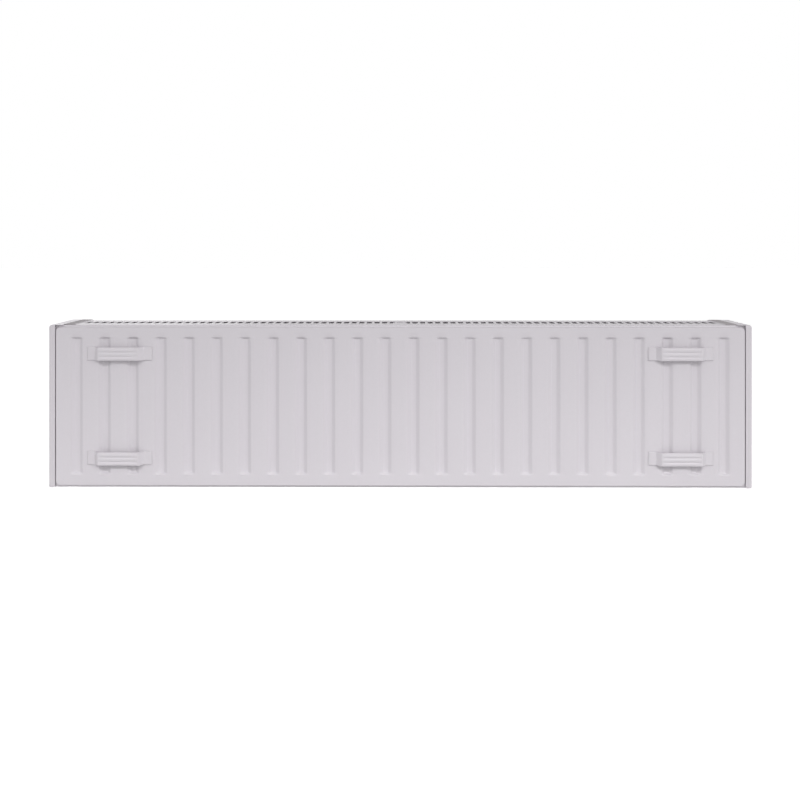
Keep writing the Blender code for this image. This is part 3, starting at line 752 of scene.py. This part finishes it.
# ---- Side covers ----
def side_cover(name, side, material):
    """Folded end cover: end plate, two lips, top fold, and two holes for the sockets."""
    low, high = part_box(name)
    outer = high.x if side > 0 else -low.x
    fold = low.x if side > 0 else -high.x

    # Blocks run 10 to 50 mm past the cover's open sides, and the last cut levels its foot.
    def shell(sunk):
        """Block with a rounded top end and rounded folds, sunk by this much on every side."""
        past_fold = 50 * sunk  # the sunk block runs out here, and leaves this side open
        bm = block((fold - past_fold, low.y + sunk, low.z - 0.02),
                   (outer - sunk, high.y - sunk, high.z - sunk))
        bevel_where(bm, lambda middle, way: abs(way.y) > 0.9 and middle.z > high.z - 0.003
                    and middle.x > outer - 0.003, COVER_TOP_ROUND - sunk, 8)
        bevel_where(bm, lambda middle, way: abs(way.y) < 0.1 and middle.z > low.z - 0.01
                    and (abs(way.z) < 0.9 or middle.x > outer - 0.02), COVER_FOLD_ROUND - sunk, 6)
        return bm

    body = apply_boolean(shell(0.0), shell(COVER_SHEET), "DIFFERENCE")
    between_lips = block((fold - 0.01, low.y - 0.01, low.z - 0.03),
                         (outer - COVER_LIP, high.y + 0.01, high.z - COVER_SHEET))
    body = apply_boolean(body, between_lips, "DIFFERENCE")
    base = block((fold - 0.02, low.y - 0.02, low.z - 0.04), (outer + 0.02, high.y + 0.02, low.z))
    body = apply_boolean(body, base, "DIFFERENCE")
    bevel_where(body, lambda middle, way: abs(way.y) > 0.9 and middle.z < low.z + 0.0001
                and abs(middle.x - outer + COVER_LIP) < 0.0002, COVER_LIP_CORNER, 4)
    for level in ("bottom", "top"):
        tee_low, tee_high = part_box(f"connection_tee_{level}_left")
        centre = (outer, Y_MID, (tee_low.z + tee_high.z) / 2)
        hole = turned("X", centre, [(-COVER_HOLE_REACH, COVER_HOLE_RADIUS),
                                    (COVER_HOLE_REACH, COVER_HOLE_RADIUS)])
        body = apply_boolean(body, hole, "DIFFERENCE")
    if side < 0:
        bmesh.ops.scale(body, vec=(-1, 1, 1), verts=body.verts[:])
    rides_on = name.replace("side_cover_", "") + "_cover"
    soften(piece(name, body, material, rides_on), COVER_EDGE, angle=40)


def cover_clip(name, side, material, body):
    """Spring strip folded round the panel's end seam."""
    low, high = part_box(name)
    inset = CLIP_SHEET / 2
    back = (high.x if side > 0 else low.x) - side * inset
    tip = (low.x if side > 0 else high.x) + side * CLIP_TIP_TRIM
    near, far = low.y + inset, high.y - inset
    path = rounded_path([(tip, near), (back, near), (back, far), (tip, far)], CLIP_BEND, 5)
    bm = extruded(strip(path, CLIP_SHEET), lambda x, y, z: (x, y, z), low.z, high.z)
    soften(piece(name, bm, material, body), width=0.00015)


# ---- Top grille ----
def slot_outline(centre_x, steps=5):
    """Rectangle with rounded corners, counter-clockwise from its right side."""
    arc_x, arc_y = SLOT_WIDTH / 2 - SLOT_CORNER, SLOT_LENGTH / 2 - SLOT_CORNER
    outline = []
    for turn, (x_sign, y_sign) in enumerate(((1, 1), (-1, 1), (-1, -1), (1, -1))):
        for step in range(steps + 1):
            angle = math.pi / 2 * (turn + step / steps)
            outline.append((centre_x + x_sign * arc_x + SLOT_CORNER * math.cos(angle),
                            Y_MID + y_sign * arc_y + SLOT_CORNER * math.sin(angle)))
    return outline


def top_grille(material):
    """Slotted sheet with raised plain ends, round-cornered slots and folded skirts."""
    name = "top_grille"
    low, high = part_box(name)
    ends_z = high.z - GRILLE_SHEET / 2
    middle_z = ends_z - GRILLE_STEP_RISE
    step_x = GRILLE_STEP_X - GRILLE_STEP_RUN
    right = [(step_x, middle_z), (GRILLE_STEP_X, ends_z), (high.x, ends_z)]
    path = rounded_path([(-x, z) for x, z in right[::-1]] + right, GRILLE_BEND, 4)
    bm = extruded(strip(path, GRILLE_SHEET), lambda x, z, y: (x, y, z), low.y, high.y)
    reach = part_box("grille_clip_middle")[1].y - Y_MID + SKIRT_GAP
    for side in (-1, 1):
        near, far = sorted((Y_MID + side * reach, Y_MID + side * (reach + GRILLE_SHEET)))
        skirt = block((-SKIRT_HALF_LENGTH, near, low.z), (SKIRT_HALF_LENGTH, far, middle_z))
        bm = apply_boolean(bm, skirt, "UNION")
    base_z = middle_z - GRILLE_SHEET / 2
    edge_lip = [(step_x, base_z), *right, (high.x, base_z)]
    for side in (-1, 1):
        outline = [(side * x, z) for x, z in edge_lip]
        for near, far in ((low.y, low.y + GRILLE_SHEET), (high.y - GRILLE_SHEET, high.y)):
            lip = extruded(outline, lambda x, z, y: (x, y, z), near, far)
            bm = apply_boolean(bm, lip, "UNION")
    slots = bmesh.new()
    for index in range(SLOT_COUNT):
        outline = slot_outline((index - (SLOT_COUNT - 1) / 2) * SLOT_PITCH)
        loft(slots, [[(x, y, z) for x, y in outline]
                     for z in (middle_z - GRILLE_SHEET, middle_z + GRILLE_SHEET)])
    bm = apply_boolean(bm, slots, "DIFFERENCE")
    soften(piece(name, bm, material, "grille"), GRILLE_EDGE, angle=40)


def grille_clip(name, material):
    """Strap across the grille's underside, with a leg along each skirt.

    An end clip's strap narrows to a tie by the bar between two slots, so both stay open.
    """
    low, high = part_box(name)
    inset = GRILLE_SHEET / 2
    near, far, strap_z = low.y + inset, high.y - inset, high.z - inset
    path = rounded_path([(near, low.z), (near, strap_z), (far, strap_z), (far, low.z)],
                        GRILLE_CLIP_BEND, 5)
    bm = extruded(strip(path, GRILLE_SHEET), lambda y, z, x: (x, y, z), low.x, high.x)
    centre_x = (low.x + high.x) / 2
    if abs(centre_x) > SLOT_PITCH:
        bar_x = (math.floor(abs(centre_x) / SLOT_PITCH) + 0.5) * SLOT_PITCH
        tie_x = math.copysign(bar_x + TIE_SHIFT, centre_x)
        for side in (-1, 1):
            start, end = sorted((tie_x + side * TIE_WIDTH / 2, tie_x + side * NOTCH_REACH))
            notch = block((start, Y_MID - TIE_HALF_LENGTH, high.z - 3 * GRILLE_SHEET),
                          (end, Y_MID + TIE_HALF_LENGTH, high.z + GRILLE_SHEET))
            bevel_where(notch, lambda middle, way: abs(way.z) > 0.9, TIE_CORNER, 4)
            bm = apply_boolean(bm, notch, "DIFFERENCE")
    soften(piece(name, bm, material, "grille"), width=0.0002)


# ---- Plugs, seals and air vent ----
def hex_plug(name, side, openings, material):
    """Threaded plug with a chamfered hexagonal head.

    Openings are (end, radius, sides), cut from its face to that distance from X = 0.
    """
    low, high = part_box(name)
    inner, outer = (low.x, high.x) if side > 0 else (-high.x, -low.x)
    centre = (0.0, Y_MID, VENT_AXIS.z)
    head_in = outer - HEX_HEAD
    across_corners = HEX_FLAT * HEX_CORNER
    past_corners = across_corners + 0.0004
    head = turned("X", centre, [(head_in, across_corners), (outer, across_corners)],
                  sides=6, sign=side)
    cone = turned("X", centre, [(head_in - PLUG_STEP, across_corners + PLUG_STEP),
                                (head_in, HEX_FLAT + HEX_CHAMFER),
                                (head_in + HEX_CHAMFER / 2, past_corners),
                                (outer - HEX_CHAMFER, past_corners),
                                (outer, HEX_FLAT - 0.0002)], sign=side)
    body = apply_boolean(head, cone, "INTERSECT")
    thread = [(inner, THREAD_RADIUS - THREAD_PITCH)]
    root = THREAD_RADIUS - THREAD_DEPTH
    turns = int((head_in - inner - 2.5 * PLUG_STEP) / THREAD_PITCH)
    for turn in range(turns):
        start = inner + PLUG_STEP + turn * THREAD_PITCH
        thread += [(start, root), (start + THREAD_PITCH / 2, THREAD_RADIUS)]
    thread += [(head_in - PLUG_STEP, root), (head_in + PLUG_STEP, root)]
    body = apply_boolean(body, turned("X", centre, thread, sign=side), "UNION")
    for end, radius, sides in openings:
        through_face = [(end, radius), (outer + 2 * PLUG_STEP, radius)]
        cutter = turned("X", centre, through_face, sides=sides, sign=side)
        body = apply_boolean(body, cutter, "DIFFERENCE")
    soften(piece(name, body, material, "radiator"), width=0.00025, angle=32)


def seal(name, side, material):
    """Rubber ring with a rounded rim, under a plug's head."""
    low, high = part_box(name)
    near, far = (low.x, high.x) if side > 0 else (-high.x, -low.x)
    radius = (high.z - low.z) / 2
    bore = THREAD_RADIUS + SEAL_GAP
    profile = [(near, bore), (near, radius - SEAL_RIM), (near + SEAL_RIM, radius),
               (far - SEAL_RIM, radius), (far, radius - SEAL_RIM), (far, bore), (near, bore)]
    bm = turned("X", (0.0, Y_MID, VENT_AXIS.z), profile, sign=side)
    soften(piece(name, bm, material, "radiator"), width=0.00015)


def vent_nozzle(material):
    """Ring with a moulded spout that points down at rest."""
    low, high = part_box("vent_nozzle")
    near, far = -high.x, -low.x
    radius = high.z - VENT_AXIS.z
    lead = 0.0004
    centre = (0.0, VENT_AXIS.y, VENT_AXIS.z)
    ring = turned("X", centre, [(near, NOZZLE_BORE), (near, radius), (far - 0.0006, radius),
                                (far, radius - 0.0008), (far, NOZZLE_BORE + lead),
                                (far - lead, NOZZLE_BORE), (near, NOZZLE_BORE)], sign=-1)
    spout = block((-(far - lead), VENT_AXIS.y - SPOUT_HALF, low.z),
                  (-(near + SPOUT_INSET), VENT_AXIS.y + SPOUT_HALF, VENT_AXIS.z - SPOUT_ROOT))
    bevel_where(spout, lambda middle, way: abs(way.x) > 0.9 and middle.z < low.z + 0.001,
                SPOUT_ROUND, 4)
    body = apply_boolean(ring, spout, "UNION")
    soften(piece("vent_nozzle", body, material, "nozzle"), width=0.0002)


def bleed_screw(material):
    """Pointed screw with a square key end."""
    low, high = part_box("bleed_screw")
    near, far = -high.x, -low.x
    centre = (0.0, VENT_AXIS.y, VENT_AXIS.z)
    profile = [(near, BLEED_SHANK / 3), (near + BLEED_POINT, BLEED_SHANK)]
    for turn in range(BLEED_TURNS):
        start = near + BLEED_POINT + 0.0002 + turn * BLEED_PITCH
        profile += [(start, BLEED_SHANK - BLEED_PITCH / 2), (start + BLEED_PITCH / 2, BLEED_SHANK)]
    key_from = near + BLEED_KEY_FROM
    profile += [(key_from, BLEED_SHANK), (key_from + 0.001, BLEED_SHANK)]
    body = turned("X", centre, profile, sides=40, sign=-1)
    square = block((-far, VENT_AXIS.y - BLEED_KEY_HALF, VENT_AXIS.z - BLEED_KEY_HALF),
                   (-key_from, VENT_AXIS.y + BLEED_KEY_HALF, VENT_AXIS.z + BLEED_KEY_HALF))
    bevel_where(square, lambda middle, way: abs(way.x) < 0.1 and middle.x < -far + 0.0003,
                0.0005, 1)
    body = apply_boolean(body, square, "UNION")
    soften(piece("bleed_screw", body, material, "bleed"), width=0.00012)


# ---- Studio ----
def area_light(name, place, target, size, power, spread_deg=180):
    """Rectangular lamp at place that looks at target."""
    data = bpy.data.lights.new(name, "AREA")
    data.shape = "RECTANGLE"
    data.size, data.size_y = size
    data.energy = power
    data.spread = math.radians(spread_deg)
    obj = bpy.data.objects.new(name, data)
    obj.location = place
    obj.rotation_euler = (Vector(target) - Vector(place)).to_track_quat("-Z", "Y").to_euler()
    obj.visible_camera = False
    bpy.context.scene.collection.objects.link(obj)


def studio_floor():
    """Pale floor that glows faintly, so that it meets the white sky without a line."""
    floor_mesh = bpy.data.meshes.new("studio_floor")
    bm = bmesh.new()
    just_below = Matrix.Translation((0.0, 0.0, CAD_BOUNDS[0].z - FLOOR_GAP))
    bmesh.ops.create_grid(bm, x_segments=1, y_segments=1, size=FLOOR_HALF_SIZE, matrix=just_below)
    bm.to_mesh(floor_mesh)
    bm.free()
    floor = bpy.data.objects.new("studio_floor", floor_mesh)
    bpy.context.scene.collection.objects.link(floor)
    material, tree, shader = node_material("floor_pale")
    tone = ramp(tree, noise(tree, 0.8), [(0.3, (0.93, 0.93, 0.93)), (0.7, (0.95, 0.95, 0.95))])
    tree.links.new(tone, shader.inputs["Base Color"])
    shader.inputs["Roughness"].default_value = 0.9
    shader.inputs["Specular IOR Level"].default_value = 0.1
    shader.inputs["Emission Color"].default_value = (*WHITE, 1.0)
    shader.inputs["Emission Strength"].default_value = FLOOR_GLOW
    floor_mesh.materials.append(material)
    floor.visible_diffuse = False


def lamps():
    """A key from the upper right, a long strip above the camera, and a soft lamp behind."""
    area_light("key_above_right", (2.2, -2.2, 1.6), (-0.3, -0.05, -0.12), (0.6, 0.6),
               KEY_POWER, KEY_SPREAD_DEG)
    area_light("soft_room_side", (-1.6, 2.6, 1.7), (0.0, 0.05, 0.0), (1.6, 1.2), ROOM_SIDE_POWER)
    area_light("fill_strip_front", (0.0, -1.9, 1.75), (0.0, -0.05, -0.30), (3.2, 0.25),
               FILL_POWER, FILL_SPREAD_DEG)


def sky():
    """White at eye level, dimmer overhead and below, so the enamel keeps its shading."""
    world = bpy.data.worlds.new("studio_world")
    bpy.context.scene.world = world
    world.use_nodes = True
    tree = world.node_tree
    coordinates = tree.nodes.new("ShaderNodeTexCoord")
    split = tree.nodes.new("ShaderNodeSeparateXYZ")
    tree.links.new(coordinates.outputs["Generated"], split.inputs["Vector"])
    height = tree.nodes.new("ShaderNodeMapRange")
    tree.links.new(split.outputs["Z"], height.inputs["Value"])
    height.inputs["From Min"].default_value = -1.0
    height.inputs["From Max"].default_value = 1.0
    shade = ramp(tree, height.outputs["Result"], [
        (0.0, (SKY_BELOW,) * 3), (0.44, (SKY_BELOW,) * 3), (0.475, WHITE),
        (0.66, WHITE), (0.76, (SKY_ABOVE,) * 3), (1.0, (SKY_ABOVE,) * 3),
    ])
    tree.links.new(shade, tree.nodes["Background"].inputs["Color"])


def camera():
    """Level camera above the radiator; the shift brings the object up into the frame."""
    data = bpy.data.cameras.new("photo_camera")
    data.lens = LENS_MM
    data.sensor_width = SENSOR_MM
    data.shift_x = SHIFT_X
    data.shift_y = SHIFT_Y
    data.clip_end = 50.0
    obj = bpy.data.objects.new("photo_camera", data)
    wall_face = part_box("side_cover_left")[0].y
    yaw = math.radians(CAMERA_YAW_DEG)
    obj.location = (CAMERA_DISTANCE * math.sin(yaw),
                    wall_face - CAMERA_DISTANCE * math.cos(yaw), CAMERA_HEIGHT)
    obj.rotation_euler = (math.pi / 2, 0.0, yaw)
    bpy.context.scene.collection.objects.link(obj)
    bpy.context.scene.camera = obj
    bpy.context.scene.view_settings.view_transform = "Standard"


# ---- Build ----
def build():
    """Every piece, then the studio and the camera."""
    paint = enamel()
    plating = nickel()
    strip_steel = spring_steel()
    seal_rubber = rubber()
    panels(paint)
    convector("rear_convector", 1, paint)
    convector("front_convector", -1, paint)
    for level in ("top", "bottom"):
        connection_tee(f"connection_tee_{level}_left", -1, paint)
        connection_tee(f"connection_tee_{level}_right", 1, paint)
    for level in ("upper", "lower"):
        for word in ("left", "right"):
            hanger_lug(f"hanger_lug_{level}_{word}", paint)
    for word, side in (("left", -1), ("right", 1)):
        side_cover(f"side_cover_{word}", side, paint)
        for depth in ("rear", "front"):
            cover_clip(f"cover_clip_{word}_{depth}", side, strip_steel, word + "_cover")
    # the grille's raised ends carry painted shade and a rougher gloss
    top_grille(enamel("enamel_grille", GRILLE_STEP_X - GRILLE_STEP_RUN))
    for word in ("left", "middle", "right"):
        grille_clip(f"grille_clip_{word}", paint)
    plug_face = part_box("blank_plug")[1].x  # both plugs' faces are this far from X = 0
    hex_plug("blank_plug", 1, [(plug_face - KEY_DEPTH, KEY_FLAT * HEX_CORNER, 6)], plating)
    hex_plug("vent_plug", -1, [(plug_face - VENT_BORE_DEPTH, VENT_BORE, 32),
                               (plug_face - VENT_SEAT_DEPTH, VENT_SEAT, ROUND_SIDES)], plating)
    seal("blank_plug_seal", 1, seal_rubber)
    seal("vent_plug_seal", -1, seal_rubber)
    vent_nozzle(plastic())
    bleed_screw(plating)
    studio_floor()
    sky()
    lamps()
    camera()


build()
